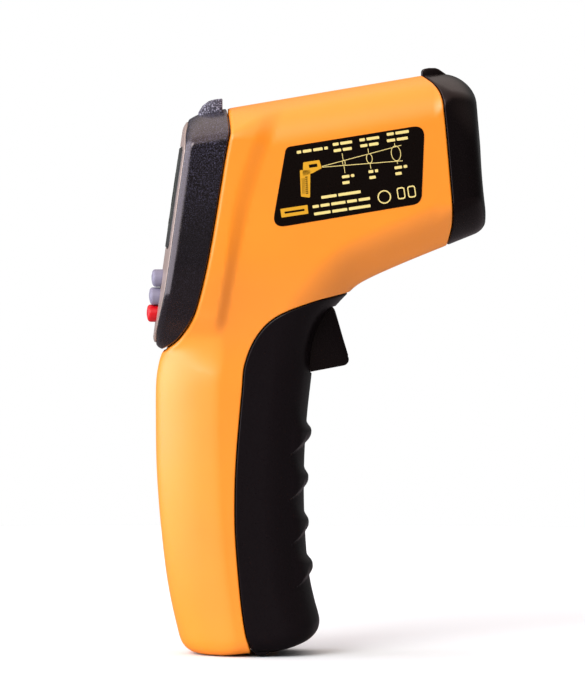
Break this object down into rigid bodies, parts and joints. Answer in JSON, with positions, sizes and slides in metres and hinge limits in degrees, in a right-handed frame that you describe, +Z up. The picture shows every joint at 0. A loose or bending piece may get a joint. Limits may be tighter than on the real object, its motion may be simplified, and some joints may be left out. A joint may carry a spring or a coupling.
{
  "type": "infrared thermometer",
  "caption": "Pistol-grip infrared thermometer with a sprung trigger, a recessed lens and laser in the nose, a rear display with keys, and a hinged front-grip battery door.",
  "frame": {"origin": "middle of the flat base of the handle, on the middle plane of the body", "axes": "+X towards the nose, +Y to the user's left, +Z up the handle to the barrel"},
  "size_m": [0.086, 0.0404, 0.1485],
  "materials": {
    "housing_orange": "satin injection-moulded ABS",
    "black_plastic": "satin black ABS with a fine grain",
    "grip_black": "satin black ABS, finely textured",
    "fascia_grey": "silver grey painted ABS",
    "display_dark": "clear acrylic window over a dark display",
    "key_grey": "moulded silicone key",
    "key_red": "moulded silicone key",
    "label_black": "printed vinyl label",
    "lens_milky": "moulded polyethylene infrared lens",
    "laser_glass": "small clear window",
    "steel": "bright steel",
    "brass": "turned brass",
    "board_green": "green circuit board",
    "lcd": "liquid crystal glass",
    "diffuser": "white light guide",
    "silicone": "soft key mat",
    "cell_wrap": "plain coloured cell wrap over a steel can",
    "wire_red": "wire insulation",
    "wire_black": "wire insulation",
    "wire_white": "wire insulation"
  },
  "bodies": {
    "housing": {"right_housing": "housing_orange", "left_housing": "housing_orange", "nose_bezel": "black_plastic", "rear_bezel": "black_plastic", "fascia": "fascia_grey", "display_window": "display_dark", "door_hinge_pin": "steel", "trigger_pin": "steel", "trigger_spring": "steel", "trigger_switch": "black_plastic", "switch_board": "board_green", "ir_lens": "lens_milky", "lens_tube": "black_plastic", "thermopile_sensor": "steel", "sensor_board": "board_green", "laser_module": "brass", "laser_window": "laser_glass", "laser_bracket": "black_plastic", "lcd_glass": "lcd", "backlight_plate": "diffuser", "key_mat": "silicone", "main_board": "board_green", "battery_tray": "black_plastic", "battery_cell_right": "cell_wrap", "battery_cell_left": "cell_wrap", "cell_spring_right": "steel", "cell_spring_left": "steel", "cell_link_plate": "steel", "side_label": "label_black", "battery_lead_red": "wire_red", "battery_lead_black": "wire_black", "switch_lead": "wire_white", "sensor_lead": "wire_white", "laser_lead": "wire_white", "housing_screw_1": "steel", "housing_screw_2": "steel", "housing_screw_3": "steel", "housing_screw_4": "steel"},
    "trigger_arm": {"trigger": "black_plastic"},
    "key_up": {"button_up": "key_grey"},
    "key_down": {"button_down": "key_grey"},
    "key_red": {"button_red": "key_red"},
    "door": {"battery_door": "grip_black"}
  },
  "joints": [
    {"name": "trigger_pull", "type": "hinge", "parent": "housing", "child": "trigger_arm", "pos_m": [0.0225, 0, 0.094], "axis": [0, 1, 0], "range_deg": [0, 12], "stiffness_Nm_per_rad": 0.12, "springref_deg": -14.32},
    {"name": "key_up_press", "type": "slide", "parent": "housing", "child": "key_up", "axis": [1, 0, 0], "range_m": [0, 0.0006], "stiffness_N_per_m": 1200, "springref_m": -0.0006},
    {"name": "key_down_press", "type": "slide", "parent": "housing", "child": "key_down", "axis": [1, 0, 0], "range_m": [0, 0.0006], "stiffness_N_per_m": 1200, "springref_m": -0.0006},
    {"name": "key_red_press", "type": "slide", "parent": "housing", "child": "key_red", "axis": [1, 0, 0], "range_m": [0, 0.0006], "stiffness_N_per_m": 1200, "springref_m": -0.0006},
    {"name": "door_open", "type": "hinge", "parent": "housing", "child": "door", "pos_m": [0.0088, 0, 0.00295], "axis": [0, 1, 0], "range_deg": [0, 70]}
  ]
}
